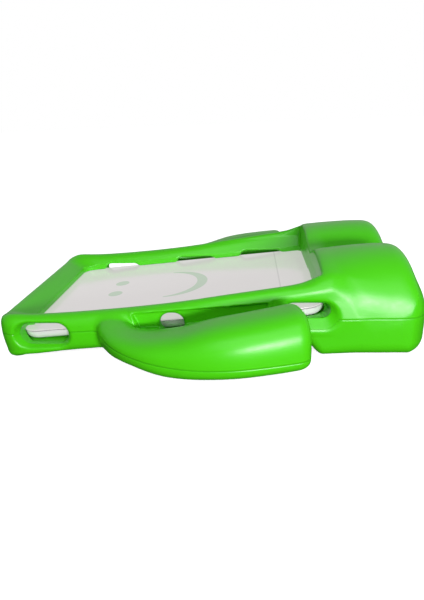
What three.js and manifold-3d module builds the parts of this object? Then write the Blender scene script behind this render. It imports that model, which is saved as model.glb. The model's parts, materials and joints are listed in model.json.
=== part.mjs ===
// A foam-cased tablet for small children: a one-piece moulded bumper with two handle arms and two
// stubby feet, and the thin touch tablet that is held inside it.
// Millimetres, +Z up. The object lies on its back: +X points to the feet, -Y is the display's left
// side, and the flat backs of the feet and the two corner pads rest on Z = 0.
import * as THREE from "three";
import { mergeVertices } from "three/addons/utils/BufferGeometryUtils.js";
import Module from "manifold-3d";

const wasm = await Module();
wasm.setup();

// ---- Driving dimensions -------------------------------------------------------------------

// Everything is drawn about the tablet's centre, and the finished group moves to the box's centre.
const CASE_TOP_X = -112;
const SOLE_X = 168;
const BOX_CENTRE_X = (CASE_TOP_X + SOLE_X) / 2;

// The tablet lies turned about Y, its foot end raised, because the feet are thicker than the frame.
const TILT = THREE.MathUtils.degToRad(4.6);
const GLASS_HEIGHT = 23.4;

const TABLET_LENGTH = 203;
const TABLET_WIDTH = 135;
const TABLET_THICKNESS = 7.2;
const TABLET_CORNER = 13;

const CASE_HALF_WIDTH = 78;
const CASE_CORNER = 15;
const CASE_BACK_W = -14; // the back of the frame, measured from the glass
const EDGE_ROUND = 5;
const FIT_GAP = 0.3;

// The mould's parting plane rises gently towards the feet.
const SEAM_HEIGHT = 22.1;
const SEAM_SLOPE = 0.048;
const SEAM_LEVEL_X = 85; // from here to the soles it runs level

// Feet
const FOOT_START_X = 101;
const FOOT_CENTRE_Y = 37;
const FOOT_OUTER_WIDTH = CASE_HALF_WIDTH - FOOT_CENTRE_Y;
const FOOT_INNER_WIDTH = FOOT_CENTRE_Y + 0.6;
const FOOT_NOTCH = 22;
const RAIL_END_X = 103; // here the rail tops begin to fall away between the lobes' outer sides
const RAIL_FALL = 30;
const LOBE_START_X = 60;
const VALLEY_SHARE = 0.3; // how much of a lobe's height is left between the two
const LOBE_BLEND = 9;
const LOBE_POWER = 2.1;
const LOBE_INNER_ROOT = 0.8;
const LOBE_OUTER_ROOTS = [0.3, 0.6]; // at the window and where the foot is fully rounded
const LOBE_ROUND_X = 146;
const SOLE_POWER = 2.5;
const SOLE_ROOT = 0.4;
const SOLE_BULGE = 0.6; // cut off flat, so that the case can stand on its soles
const SOLE_ROUND_TOP = 5;
const SOLE_ROUND_BACK = 10;

// Window over the display, at the glass and at the rail tops
const WINDOW_LOW = { x0: -94, x1: 100, halfWidth: 62 };
const WINDOW_HIGH = { x0: -108, x1: 101, halfWidth: 67 };
const WINDOW_CORNER = 6;
const LIP_HEIGHT = 4.5;
const WINDOW_SLOPE_HEIGHT = 13;

// Openings in the foam
const WALL_OUTSIDE = 80;
const MOUTH_END = 73; // each side opening flares out from here
const WALL_INSIDE = 60;
const WELL_PAST = 200; // farther out than any part of the case
const RECESS_DEPTH = 3;
const RECESS_CORNERS = [
  [-19.5, 30.5],
  [-15.5, 21],
  [62, 26.5],
  [66, 37],
];
const PASSAGE_WIDTH = 20;
const PASSAGE_HEIGHT = 11;
const TOP_OPENING_HEIGHT = 8;
const TOP_OPENINGS = [
  { y: -52, width: 14 },
  { y: 40, width: 22 },
];
const CAMERA_OPENING = 16;

// Pads under the top corners, level with the backs of the feet
const PAD_RADIUS = 7;
const PAD_TOP = 6;
const PAD_X = -101;
const PAD_Y = 67;

// Tablet: heights from the glass's surface, down through the stack
const CLEARANCE = 0.1;
const GLASS_BACK = -0.9;
const SHELL_RIM = -1.3;
const SHELL_WALL = 1.4;
const SHELL_FLOOR = -6.2;
const BOARD_LOW = -6.1;
const BOARD_TOP = -5.4;
const BUTTON_Z = -3.9;
const FLEX_THICKNESS = 0.3;
const PANEL = { length: 170, width: 126, corner: 2, low: -2.1, high: -1.1 };
const BACKLIGHT = { length: 172, width: 126, corner: 2, low: -2.8, high: -2.2 };
const FRAME = { length: 174, width: 126, corner: 4, low: -3.9, high: -3.4 };
const BATTERY_CELL = { length: 92, width: 54, corner: 1.5, high: -4.1, x: 22, y: 28.5 };
const MAIN_BOARD = { length: 46, width: 112, corner: 2, x: -58 };
const SHIELD = { x0: -78, x1: -42, y0: -34, y1: 14, high: -4.05, wall: 0.3, roof: 0.25 };
const SPEAKER = { length: 11, width: 24, high: -2.6, x: 93, y: 38, mouth: [5, 16, 0.6] };

// Its sockets, cameras and screws, in the tablet's own place
const PORT = { width: 9, low: -5.4, high: -2.4, depth: 7 };
const JACK = { y: -52, radius: 2.2, bore: 1.75, depth: 13 };
const CAMERA = { x: -91.5, y: 54, windowRadius: 3.4 };
const SCREW = { radius: 0.7, headRadius: 1.6, low: -5.4, seat: -3.3, high: -3 };
const POST = { radius: 2.6, high: -4 };
const SCREWS = [
  [-84, -60],
  [-84, 60],
  [84, -60],
  [84, 60],
];

// Its keys: bars that slide in through the edge and press a dome switch
const KEY_HEIGHT = 2.4;
const KEY_FLANGE = 0.6;
const KEY_TRAVEL = 0.3;
const KEY_PROUD = 0.6;
const KEY_INSIDE = -SHELL_WALL - CLEARANCE;
const SWITCH_LENGTH = 6;
const SWITCH_DEPTH = 1.6;
const KEYS = [
  { name: "power", end: "top", at: 40, length: 9 },
  { name: "volume_up", end: "side", at: -69, length: 9 },
  { name: "volume_down", end: "side", at: -57, length: 9 },
];

// Where the tablet's ends lie
const TABLET_SHIFT = 1;
const TABLET_TOP_X = TABLET_SHIFT - TABLET_LENGTH / 2;
const TABLET_END_X = TABLET_SHIFT + TABLET_LENGTH / 2;

// ---- Solids helpers -----------------------------------------------------------------------

function toSolid(geometry) {
  const plain = geometry.index ? geometry.toNonIndexed() : geometry.clone();
  plain.deleteAttribute("normal");
  plain.deleteAttribute("uv");
  const merged = mergeVertices(plain, 1e-4);
  return new wasm.Manifold(
    new wasm.Mesh({
      numProp: 3,
      vertProperties: new Float32Array(merged.attributes.position.array),
      triVerts: new Uint32Array(merged.index.array),
    }),
  );
}

function toGeometry(solid) {
  const mesh = solid.getMesh();
  const positions = new Float32Array(mesh.numVert * 3);
  for (let i = 0; i < mesh.numVert; i++) {
    const start = i * mesh.numProp;
    positions.set(mesh.vertProperties.subarray(start, start + 3), i * 3);
  }
  const indexed = new THREE.BufferGeometry();
  indexed.setAttribute("position", new THREE.BufferAttribute(positions, 3));
  indexed.setIndex(new THREE.BufferAttribute(mesh.triVerts, 1));
  const faceted = indexed.toNonIndexed();
  faceted.computeVertexNormals();
  return faceted;
}

const joined = (first, ...others) =>
  others.reduce((solid, other) => solid.add(toSolid(other)), toSolid(first));

const cutBy = (solid, ...tools) =>
  tools.reduce((left, tool) => left.subtract(toSolid(tool)), solid);

// ---- Shape helpers ------------------------------------------------------------------------

const { clamp, lerp, smoothstep } = THREE.MathUtils;

function roundedRectangle(length, width, radius) {
  const shape = new THREE.Shape();
  const x = length / 2;
  const y = width / 2;
  shape.moveTo(-x + radius, -y);
  shape.lineTo(x - radius, -y);
  shape.absarc(x - radius, -y + radius, radius, -Math.PI / 2, 0, false);
  shape.lineTo(x, y - radius);
  shape.absarc(x - radius, y - radius, radius, 0, Math.PI / 2, false);
  shape.lineTo(-x + radius, y);
  shape.absarc(-x + radius, y - radius, radius, Math.PI / 2, Math.PI, false);
  shape.lineTo(-x, -y + radius);
  shape.absarc(-x + radius, -y + radius, radius, Math.PI, Math.PI * 1.5, false);
  return shape;
}

function slab(shape, low, high, curveSegments = 6) {
  const geometry = new THREE.ExtrudeGeometry(shape, {
    depth: high - low,
    bevelEnabled: false,
    curveSegments,
  });
  return geometry.translate(0, 0, low);
}

function box(x0, x1, y0, y1, z0, z1) {
  const geometry = new THREE.BoxGeometry(x1 - x0, y1 - y0, z1 - z0);
  return geometry.translate((x0 + x1) / 2, (y0 + y1) / 2, (z0 + z1) / 2);
}

// Moves every vertex of a geometry by a function from point to point.
function reshape(geometry, place) {
  const position = geometry.attributes.position;
  const point = new THREE.Vector3();
  for (let i = 0; i < position.count; i++) {
    point.fromBufferAttribute(position, i);
    place(point);
    position.setXYZ(i, point.x, point.y, point.z);
  }
  return geometry;
}

const TABLET_PLACE = new THREE.Matrix4()
  .makeRotationY(-TILT)
  .setPosition(0, 0, GLASS_HEIGHT);

const inTablet = (geometry) => geometry.applyMatrix4(TABLET_PLACE);

const glassHeight = (x) => GLASS_HEIGHT + x * Math.tan(TILT);

// ---- Foam case: body ----------------------------------------------------------------------

const seamHeight = (x) => SEAM_HEIGHT + SEAM_SLOPE * Math.min(x, SEAM_LEVEL_X);

function heightLine(...points) {
  const curve = new THREE.SplineCurve(points.map(([x, z]) => new THREE.Vector2(x, z)));
  const line = curve.getPoints(120);
  return (x) => {
    const next = line.findIndex((point) => point.x >= x);
    if (next < 0) return line.at(-1).y;
    if (next === 0) return line[0].y;
    const a = line[next - 1];
    const b = line[next];
    return lerp(a.y, b.y, (x - a.x) / (b.x - a.x));
  };
}

// The rail tops, from the top end to behind the window.
const railHeight = heightLine(
  [-112, 30.4],
  [-80, 29.6],
  [-40, 31.8],
  [0, 35.6],
  [40, 41.2],
  [80, 46.8],
  [101, 49.8],
  [125, 53],
);

// The crest of each foot's lobe, from the window to the sole.
const crestHeight = heightLine(
  [88, 51],
  [101, 56.8],
  [110, 59.2],
  [120, 60.9],
  [132, 61.8],
  [142, 62],
  [148, 61.6],
  [152.5, 59.8],
  [156, 55.8],
  [159, 49],
  [162.6, 40.5],
  [165, 34.4],
  [168, 29.8],
);

// An arch from 0 at a foot's sides to 1 at its middle.
function footArch(y, power, root) {
  const offset = Math.abs(y) - FOOT_CENTRE_Y;
  const across = Math.min(1, Math.abs(offset) / (offset > 0 ? FOOT_OUTER_WIDTH : FOOT_INNER_WIDTH));
  return (1 - across ** power) ** root;
}

function softMax(a, b, blend) {
  const near = Math.max(blend - Math.abs(a - b), 0) / blend;
  return Math.max(a, b) + (near * near * blend) / 4;
}

function topHeight(x, y) {
  const seam = seamHeight(x);
  const fallen = smoothstep(x, RAIL_END_X, RAIL_END_X + RAIL_FALL);
  const rail = (railHeight(x) - seam) * (1 - fallen);
  const inward = Math.abs(y) < FOOT_CENTRE_Y;
  const outerRoot = lerp(...LOBE_OUTER_ROOTS, smoothstep(x, FOOT_START_X, LOBE_ROUND_X));
  const rounding = footArch(y, LOBE_POWER, inward ? LOBE_INNER_ROOT : outerRoot);
  const arch = lerp(inward ? VALLEY_SHARE : 0, 1, rounding);
  const grown = smoothstep(x, LOBE_START_X, FOOT_START_X);
  return seam + softMax(rail, (crestHeight(x) - seam) * arch * grown, LOBE_BLEND);
}

function backHeight(x) {
  const frameBack = glassHeight(x) + CASE_BACK_W;
  return lerp(frameBack, 0, smoothstep(x, FOOT_START_X - 18, FOOT_START_X));
}

function topEndX(y) {
  const past = Math.max(0, Math.abs(y) - (CASE_HALF_WIDTH - CASE_CORNER));
  return CASE_TOP_X + CASE_CORNER - Math.sqrt(CASE_CORNER ** 2 - past ** 2);
}

const soleX = (y) =>
  SOLE_X + SOLE_BULGE - FOOT_NOTCH * (1 - footArch(y, SOLE_POWER, SOLE_ROOT));

// A finely divided box, its top and back pushed to their heights and its edges drawn in.
function caseBody() {
  const cube = new THREE.BoxGeometry(2, 2, 2, 26, 14, 6);
  return reshape(cube, (point) => {
    const level = point.z;
    const across = Math.sign(point.y) * (1 - Math.pow(1 - Math.abs(point.y), 1.6));
    const along = 1 - Math.pow((1 - point.x) / 2, 1.5);
    const edge = 1 - Math.sqrt(1 - Math.abs(level) ** 6);
    const soleRound = level > 0 ? SOLE_ROUND_TOP : SOLE_ROUND_BACK;
    const y = across * (CASE_HALF_WIDTH - EDGE_ROUND * edge);
    const start = topEndX(across * CASE_HALF_WIDTH) + EDGE_ROUND * edge;
    const end = soleX(across * CASE_HALF_WIDTH) - soleRound * edge;
    const x = lerp(start, end, along);
    const seam = seamHeight(x);
    const reach = level > 0 ? topHeight(x, y) - seam : seam - backHeight(x);
    point.set(x, y, seam + level * reach);
  });
}

// ---- Foam case: arms ----------------------------------------------------------------------

// The middle of an arm from its shoulder inside the body to its hand.
const ARM_LINE = new THREE.SplineCurve(
  [
    [-39.1, 64],
    [-33.4, 73.1],
    [-29.1, 82.3],
    [-19.7, 93.3],
    [-1.3, 102.7],
    [18, 107.6],
    [43, 110],
    [66, 107.5],
    [84.6, 103.5],
  ].map(([x, y]) => new THREE.Vector2(x, y)),
);
const ARM_SEAM_DROP = 4;
const FAR_ARM_DROP = 6.5; // the foam arms flex, and the right-hand one lies a little lower

// Half width, height above the parting plane and depth below it, from shoulder to hand.
const ARM_SECTIONS = [
  { at: 0, halfWidth: 11.9, above: 10.3, below: 15.2 },
  { at: 0.18, halfWidth: 10.5, above: 6.6, below: 11.5 },
  { at: 0.32, halfWidth: 14.1, above: 7.6, below: 9.4 },
  { at: 0.48, halfWidth: 17.8, above: 12.8, below: 10.7 },
  { at: 0.67, halfWidth: 20.1, above: 20, below: 9.6 },
  { at: 1, halfWidth: 19.7, above: 24.7, below: 8.6 },
];
const ARM_SECTION_POWER = 2.7;
const HAND_ROUND = 7;

function armSection(t) {
  const next = Math.max(1, ARM_SECTIONS.findIndex((section) => section.at >= t));
  const a = ARM_SECTIONS[next - 1];
  const b = ARM_SECTIONS[next];
  const share = (t - a.at) / (b.at - a.at);
  return {
    halfWidth: lerp(a.halfWidth, b.halfWidth, share),
    above: lerp(a.above, b.above, share),
    below: lerp(a.below, b.below, share),
  };
}

// A round bar bent along the arm's middle line, its section widening to the blunt hand.
function arm(side) {
  const length = ARM_LINE.getLength();
  const bar = new THREE.CylinderGeometry(1, 1, 1, 16, 18);
  const squared = (c) => Math.sign(c) * Math.abs(c) ** (2 / ARM_SECTION_POWER);
  return reshape(bar, (point) => {
    const t = clamp(1 - (0.5 - point.y) ** 1.4, 0, 1);
    const centre = ARM_LINE.getPointAt(t);
    const forward = ARM_LINE.getTangentAt(t);
    const section = armSection(t);
    const past = clamp(((t - 1) * length + HAND_ROUND) / HAND_ROUND, 0, 1);
    const inset = HAND_ROUND * (1 - Math.sqrt(1 - past ** 2));
    const radius = Math.hypot(point.x, point.z);
    const angle = Math.atan2(point.z, point.x);
    const sideways = radius * squared(Math.cos(angle)) * (section.halfWidth - inset) * side;
    const rise = Math.sin(angle) > 0 ? section.above : section.below;
    const upwards = radius * squared(Math.sin(angle)) * (rise - inset);
    const x = centre.x + forward.y * sideways;
    const y = centre.y - forward.x * sideways;
    const drop = smoothstep(t, 0.1, 0.6) * (ARM_SEAM_DROP + (side > 0 ? FAR_ARM_DROP : 0));
    point.set(x, side * y, seamHeight(x) - drop + upwards);
  });
}

// ---- Foam case: openings ------------------------------------------------------------------

// An opening through a side wall. Its mouth flares from the inner outline to the outer one.
// Each outline is { x0, x1, z0, z1 }; both have rounded ends.
function wallOpening(side, outer, inner) {
  const height = outer.z1 - outer.z0;
  const length = outer.x1 - outer.x0;
  const outline = roundedRectangle(length, height, height / 2 - 0.01);
  const plug = new THREE.ExtrudeGeometry(outline, {
    depth: 2,
    steps: 2,
    bevelEnabled: false,
    curveSegments: 4,
  });
  const depths = [WALL_OUTSIDE, MOUTH_END, WALL_INSIDE];
  return reshape(plug, (point) => {
    const layer = side > 0 ? Math.round(point.z) : 2 - Math.round(point.z);
    const face = layer === 0 ? outer : inner;
    const x = lerp(face.x0, face.x1, point.x / length + 0.5);
    const z = lerp(face.z0, face.z1, point.y / height + 0.5);
    point.set(x, side * depths[layer], z);
  });
}

// Openings run along the wall between two ends; their floor and ceiling are measured from the
// glass, first at the wall's outer face and then inside the mouth.
const SIDE_OPENINGS = [
  { side: -1, outer: [-100.6, -59.7], rise: [-11.4, 10.9], inner: [-96.5, -63.9], innerRise: [-6.5, 6.6] },
  { side: -1, outer: [-3.4, 14], rise: [-7.4, 8.6], inner: [-2.8, 13], innerRise: [-7.2, 6.4] },
  { side: -1, outer: [72.5, 112.4], rise: [-16.3, 9.4], inner: [76, 104.4], innerRise: [-4.9, 5.1] },
  { side: 1, outer: [-80, -40], rise: [-10.5, 9], inner: [-75.7, -44.3], innerRise: [-7.2, 3.8] },
  { side: 1, outer: [-14, 29], rise: [-11, 8.5], inner: [-10, 25], innerRise: [-7.2, 3.8] },
  { side: 1, outer: [43, 88], rise: [-11.5, 8.5], inner: [47, 84], innerRise: [-7.2, 3.8] },
].map(({ side, outer, rise, inner, innerRise }) => ({
  side,
  outer: outlineFrom(outer, rise),
  inner: outlineFrom(inner, innerRise),
}));

function outlineFrom([x0, x1], [low, high]) {
  const glass = glassHeight((x0 + x1) / 2);
  return { x0, x1, z0: glass + low, z1: glass + high };
}

const sideOpenings = () =>
  SIDE_OPENINGS.map(({ side, outer, inner }) => wallOpening(side, outer, inner));

// The long shallow recess round the near side's round hole, behind the arm.
function sideRecess() {
  const outline = new THREE.Shape();
  outline.setFromPoints(RECESS_CORNERS.map(([x, z]) => new THREE.Vector2(x, z)));
  const prism = slab(outline, 0, RECESS_DEPTH + 1);
  return prism.rotateX(Math.PI / 2).translate(0, RECESS_DEPTH - CASE_HALF_WIDTH, 0);
}

const tabletOutline = (grow) =>
  roundedRectangle(TABLET_LENGTH + 2 * grow, TABLET_WIDTH + 2 * grow, TABLET_CORNER + grow);

function tabletPocket() {
  const pocket = slab(tabletOutline(FIT_GAP), -TABLET_THICKNESS - FIT_GAP, FIT_GAP, 5);
  return inTablet(pocket.translate(TABLET_SHIFT, 0, 0));
}

// The display window: upright at the lip, then opening out to the rail tops.
function displayWindow() {
  const length = WINDOW_LOW.x1 - WINDOW_LOW.x0;
  const outline = roundedRectangle(length, 2 * WINDOW_LOW.halfWidth, WINDOW_CORNER);
  const plug = new THREE.ExtrudeGeometry(outline, {
    depth: 3,
    steps: 3,
    bevelEnabled: false,
    curveSegments: 4,
  });
  const levels = [0, LIP_HEIGHT, WINDOW_SLOPE_HEIGHT, WELL_PAST];
  reshape(plug, (point) => {
    const step = Math.round(point.z);
    const open = step < 2 ? 0 : 1;
    const endShift = point.x < 0 ? WINDOW_HIGH.x0 - WINDOW_LOW.x0 : WINDOW_HIGH.x1 - WINDOW_LOW.x1;
    const sideShift = Math.sign(point.y) * (WINDOW_HIGH.halfWidth - WINDOW_LOW.halfWidth);
    point.x += (WINDOW_LOW.x0 + WINDOW_LOW.x1) / 2 + open * endShift;
    point.y += open * sideShift;
    point.z = levels[step];
  });
  return inTablet(plug);
}

function cylinder(radius, low, high, segments = 24) {
  const geometry = new THREE.CylinderGeometry(radius, radius, high - low, segments);
  return geometry.rotateX(Math.PI / 2).translate(0, 0, (low + high) / 2);
}

// A passage from the cleft between the feet to the charging port.
function chargingPassage() {
  const outline = roundedRectangle(PASSAGE_WIDTH, PASSAGE_HEIGHT, PASSAGE_HEIGHT / 2 - 0.01);
  const length = SOLE_X - TABLET_END_X;
  const passage = slab(outline, 0, length).rotateZ(Math.PI / 2).rotateY(Math.PI / 2);
  return inTablet(passage.translate(TABLET_END_X - 1, 0, -TABLET_THICKNESS / 2));
}

// An opening in the top rail for a button or a plug.
function topOpening({ y, width }) {
  const outline = roundedRectangle(width, TOP_OPENING_HEIGHT, TOP_OPENING_HEIGHT / 2 - 0.01);
  const passage = slab(outline, 0, 20).rotateZ(Math.PI / 2).rotateY(Math.PI / 2);
  return inTablet(passage.translate(TABLET_TOP_X - 18, y, -TABLET_THICKNESS / 2));
}

function cameraOpening() {
  const hole = cylinder(CAMERA_OPENING / 2, CASE_BACK_W - 8, -TABLET_THICKNESS);
  return inTablet(hole.translate(TABLET_SHIFT + CAMERA.x, CAMERA.y, 0));
}

// ---- Foam case ----------------------------------------------------------------------------

function cornerPad(side) {
  return cylinder(PAD_RADIUS, -1, PAD_TOP).translate(PAD_X, side * PAD_Y, 0);
}

function foamCase() {
  const recessed = cutBy(toSolid(caseBody()), sideRecess());
  const whole = [arm(-1), arm(1), cornerPad(-1), cornerPad(1)].reduce(
    (solid, extra) => solid.add(toSolid(extra)),
    recessed,
  );
  const below = box(-WELL_PAST, WELL_PAST, -WELL_PAST, WELL_PAST, -WELL_PAST, 0);
  const beyond = box(SOLE_X, WELL_PAST, -WELL_PAST, WELL_PAST, -WELL_PAST, WELL_PAST);
  const opened = cutBy(
    whole,
    below,
    beyond,
    tabletPocket(),
    displayWindow(),
    ...sideOpenings(),
    ...TOP_OPENINGS.map(topOpening),
    chargingPassage(),
    cameraOpening(),
  );
  return toGeometry(opened);
}

// ---- Tablet: shell, glass and buttons -----------------------------------------------------

// In the tablet's own group x runs from its top end to its foot end, z = 0 is the glass's surface.
const HALF_LENGTH = TABLET_LENGTH / 2;
const HALF_WIDTH = TABLET_WIDTH / 2;

const plate = (length, width, radius, low, high, curveSegments = 2) =>
  slab(roundedRectangle(length, width, radius), low, high, curveSegments);

const tabletPlate = (inset, low, high) =>
  plate(TABLET_LENGTH - 2 * inset, TABLET_WIDTH - 2 * inset, TABLET_CORNER - inset, low, high, 5);

const alongX = (geometry) => geometry.rotateY(Math.PI / 2);

const alongY = (geometry) => geometry.rotateX(-Math.PI / 2);

function rearShell() {
  const wallOut = HALF_LENGTH + 1;
  const portHole = box(HALF_LENGTH - 3, wallOut, -PORT.width / 2, PORT.width / 2, PORT.low, PORT.high);
  const jackHole = alongX(cylinder(JACK.radius + CLEARANCE, -wallOut, 3 - HALF_LENGTH, 20));
  const cameraHole = cylinder(CAMERA.windowRadius + CLEARANCE, -TABLET_THICKNESS - 1, SHELL_FLOOR + 1);
  return toGeometry(
    cutBy(
      toSolid(tabletPlate(0, -TABLET_THICKNESS, SHELL_RIM)),
      tabletPlate(SHELL_WALL, SHELL_FLOOR, 0),
      portHole,
      jackHole.translate(0, JACK.y, BUTTON_Z),
      cameraHole.translate(CAMERA.x, CAMERA.y, 0),
      ...KEYS.map((key) => keySolid(key, CLEARANCE, 0, KEY_INSIDE - 0.2, KEY_INSIDE + 8)),
    ),
  );
}

// A key's bar with its growth all round, between two depths measured outwards from the edge.
function keySolid(key, grow, flange, inner, outer) {
  const width = 2 * (KEY_HEIGHT / 2 + grow + flange);
  const length = key.length + 2 * (grow + flange);
  const bar = slab(roundedRectangle(length, width, width / 2 - 0.01), inner, outer, 3);
  if (key.end === "top") {
    return bar.rotateZ(Math.PI / 2).rotateY(-Math.PI / 2).translate(-HALF_LENGTH, key.at, BUTTON_Z);
  }
  return alongY(bar).translate(key.at, HALF_WIDTH, BUTTON_Z);
}

// A key: its rounded bar stands a little proud of the shell, its flange stays behind the wall.
function keyButton(key) {
  const bar = keySolid(key, 0, 0, KEY_INSIDE - 0.1, KEY_PROUD);
  const flange = keySolid(key, 0, KEY_FLANGE, KEY_INSIDE - 0.9, KEY_INSIDE - 0.1);
  return toGeometry(joined(bar, flange));
}

// The dome switch behind a key, just clear of it.
function keySwitch(key) {
  const back = KEY_INSIDE - 0.9 - KEY_TRAVEL - 0.1;
  const low = BUTTON_Z - 1.2;
  const high = BUTTON_Z + 1.2;
  const half = SWITCH_LENGTH / 2;
  if (key.end === "top") {
    const face = -HALF_LENGTH - back;
    return box(face, face + SWITCH_DEPTH, key.at - half, key.at + half, low, high);
  }
  const face = HALF_WIDTH + back;
  return box(key.at - half, key.at + half, face - SWITCH_DEPTH, face, low, high);
}

function glassGasket() {
  const ring = toSolid(tabletPlate(0.4, SHELL_RIM + CLEARANCE, GLASS_BACK - CLEARANCE));
  return toGeometry(cutBy(ring, tabletPlate(SHELL_WALL + 1.6, -3, 0)));
}

// ---- Tablet: pieces inside ----------------------------------------------------------------

const layer = ({ length, width, corner, low, high }) => plate(length, width, corner, low, high);

function tube(outer, inner, low, high, segments) {
  const ring = toSolid(cylinder(outer, low, high, segments));
  return toGeometry(cutBy(ring, cylinder(inner, low - 1, high + 1, segments)));
}

function metalFrame() {
  const hole = cylinder(SCREW.radius + CLEARANCE, FRAME.low - 1, FRAME.high + 1, 12);
  const cornerHoles = SCREWS.map(([x, y]) => hole.clone().translate(x, y, 0));
  return toGeometry(cutBy(toSolid(layer(FRAME)), ...cornerHoles));
}

function frameScrew([x, y]) {
  const head = cylinder(SCREW.headRadius, SCREW.seat, SCREW.high, 16);
  const shank = cylinder(SCREW.radius, SCREW.low, SCREW.seat, 12);
  return toGeometry(joined(head, shank)).translate(x, y, 0);
}

function screwPost([x, y]) {
  const bore = SCREW.radius + CLEARANCE;
  return tube(POST.radius, bore, SHELL_FLOOR + CLEARANCE, POST.high, 12).translate(x, y, 0);
}

const batteryCell = (side) =>
  layer({ ...BATTERY_CELL, low: BOARD_LOW }).translate(BATTERY_CELL.x, side * BATTERY_CELL.y, 0);

const mainBoard = () =>
  layer({ ...MAIN_BOARD, low: BOARD_LOW, high: BOARD_TOP }).translate(MAIN_BOARD.x, 0, 0);

const chip = ({ size: [length, width], corner, high, at: [x, y] }) =>
  plate(length, width, corner, BOARD_TOP + CLEARANCE, high).translate(x, y, 0);

function shieldCan() {
  const { x0, x1, y0, y1, high, wall, roof } = SHIELD;
  const can = toSolid(box(x0, x1, y0, y1, BOARD_TOP + CLEARANCE, high));
  const inside = box(x0 + wall, x1 - wall, y0 + wall, y1 - wall, BOARD_TOP - 1, high - roof);
  return toGeometry(cutBy(can, inside));
}

function chargingPort() {
  const shell = plate(8.6, PORT.high - PORT.low - 2 * CLEARANCE, 1.1, 0, PORT.depth);
  const socket = plate(7.6, PORT.high - PORT.low - 2 * CLEARANCE - 1, 0.7, 1, PORT.depth + 1);
  const solid = cutBy(toSolid(shell), socket);
  const tongue = box(-2.8, 2.8, -0.3, 0.3, 0.5, PORT.depth - 1.2);
  const port = toGeometry(solid.add(toSolid(tongue))).rotateZ(Math.PI / 2).rotateY(Math.PI / 2);
  return port.translate(HALF_LENGTH - PORT.depth - 0.2, 0, (PORT.low + PORT.high) / 2);
}

function headphoneJack() {
  const barrel = toSolid(cylinder(JACK.radius, 0, JACK.depth, 20));
  const bored = cutBy(barrel, cylinder(JACK.bore, -1, JACK.depth - 1.5, 20));
  return alongX(toGeometry(bored)).translate(0.2 - HALF_LENGTH, JACK.y, BUTTON_Z);
}

function speaker(side) {
  const { length, width, high, mouth } = SPEAKER;
  const [mouthLength, mouthWidth, mouthDepth] = mouth;
  const cabinet = toSolid(plate(length, width, 2, SHELL_FLOOR + CLEARANCE, high));
  const opening = plate(mouthLength, mouthWidth, 2, high - mouthDepth, high + 1);
  return toGeometry(cutBy(cabinet, opening)).translate(SPEAKER.x, side * SPEAKER.y, 0);
}

function rearCamera() {
  const body = box(-4.2, 4.2, -4.2, 4.2, SHELL_FLOOR + CLEARANCE, -2);
  const lens = cylinder(2.2, SHELL_FLOOR - 0.3, SHELL_FLOOR + CLEARANCE + 0.1, 20);
  return toGeometry(joined(body, lens)).translate(CAMERA.x, CAMERA.y, 0);
}

function rearCameraWindow() {
  const window = cylinder(CAMERA.windowRadius, -TABLET_THICKNESS, SHELL_FLOOR - 0.4, 24);
  return window.translate(CAMERA.x, CAMERA.y, 0);
}

function frontCamera() {
  const body = box(-3, 3, -3, 3, -4.2, -2.2);
  const lens = cylinder(1.6, -2.3, GLASS_BACK - CLEARANCE, 16);
  return toGeometry(joined(body, lens)).translate(-93, 0, 0);
}

// The display's flat cable, folded round the metal frame's top edge.
function displayCable() {
  const onBoard = box(-89, -79, 18, 34, BOARD_TOP + CLEARANCE, BOARD_TOP + CLEARANCE + FLEX_THICKNESS);
  const riser = box(-89, -89 + FLEX_THICKNESS, 18, 34, BOARD_TOP + CLEARANCE, -2.9);
  const underDisplay = box(-89, -83, 18, 34, -2.9 - FLEX_THICKNESS, -2.9);
  return toGeometry(joined(onBoard, riser, underDisplay));
}

// The flat cable from the charging port, round the battery's corner to the main board.
function portCable() {
  const outline = new THREE.Shape();
  outline.moveTo(-50, -61.5);
  outline.lineTo(80, -61.5);
  outline.lineTo(80, -3);
  outline.lineTo(93.5, -3);
  outline.lineTo(93.5, 3);
  outline.lineTo(77, 3);
  outline.lineTo(77, -58.5);
  outline.lineTo(-50, -58.5);
  outline.closePath();
  return slab(outline, BOARD_LOW, BOARD_LOW + FLEX_THICKNESS);
}

// ---- Assembly -----------------------------------------------------------------------------

const material = (color, roughness, metalness) =>
  new THREE.MeshStandardMaterial({ color, roughness, metalness });

const FOAM = material(0x4fd417, 0.45, 0);
const SHELL = material(0xe6e4e6, 0.4, 0);
const GLASS = material(0xdedad7, 0.08, 0);
const RUBBER = material(0x26282a, 0.7, 0);
const SCREEN = material(0xdcdfd8, 0.25, 0);
const METAL = material(0xb4b8bc, 0.35, 0.9);
const BOARD = material(0x1d5c3a, 0.5, 0.1);
const CHIP = material(0x1b1c1f, 0.5, 0);
const BATTERY = material(0x3c4046, 0.4, 0.4);
const FLEX = material(0xb0702c, 0.5, 0.1);
const LENS = material(0x0b0c10, 0.05, 0);

// The flat packages on the main board
const CHIPS = [
  { name: "processor", size: [14, 14], corner: 0.5, high: -4.5, at: [-60, -22], finish: CHIP },
  { name: "memory_chip", size: [11, 13], corner: 0.5, high: -4.5, at: [-60, 1], finish: CHIP },
  { name: "power_chip", size: [8, 8], corner: 0.4, high: -4.5, at: [-60, 24], finish: CHIP },
  { name: "radio_module", size: [12, 10], corner: 0.5, high: -4.3, at: [-70, -46], finish: METAL },
];

function add(group, name, geometry, finish) {
  const mesh = new THREE.Mesh(geometry, finish);
  mesh.name = name;
  group.add(mesh);
}

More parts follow.
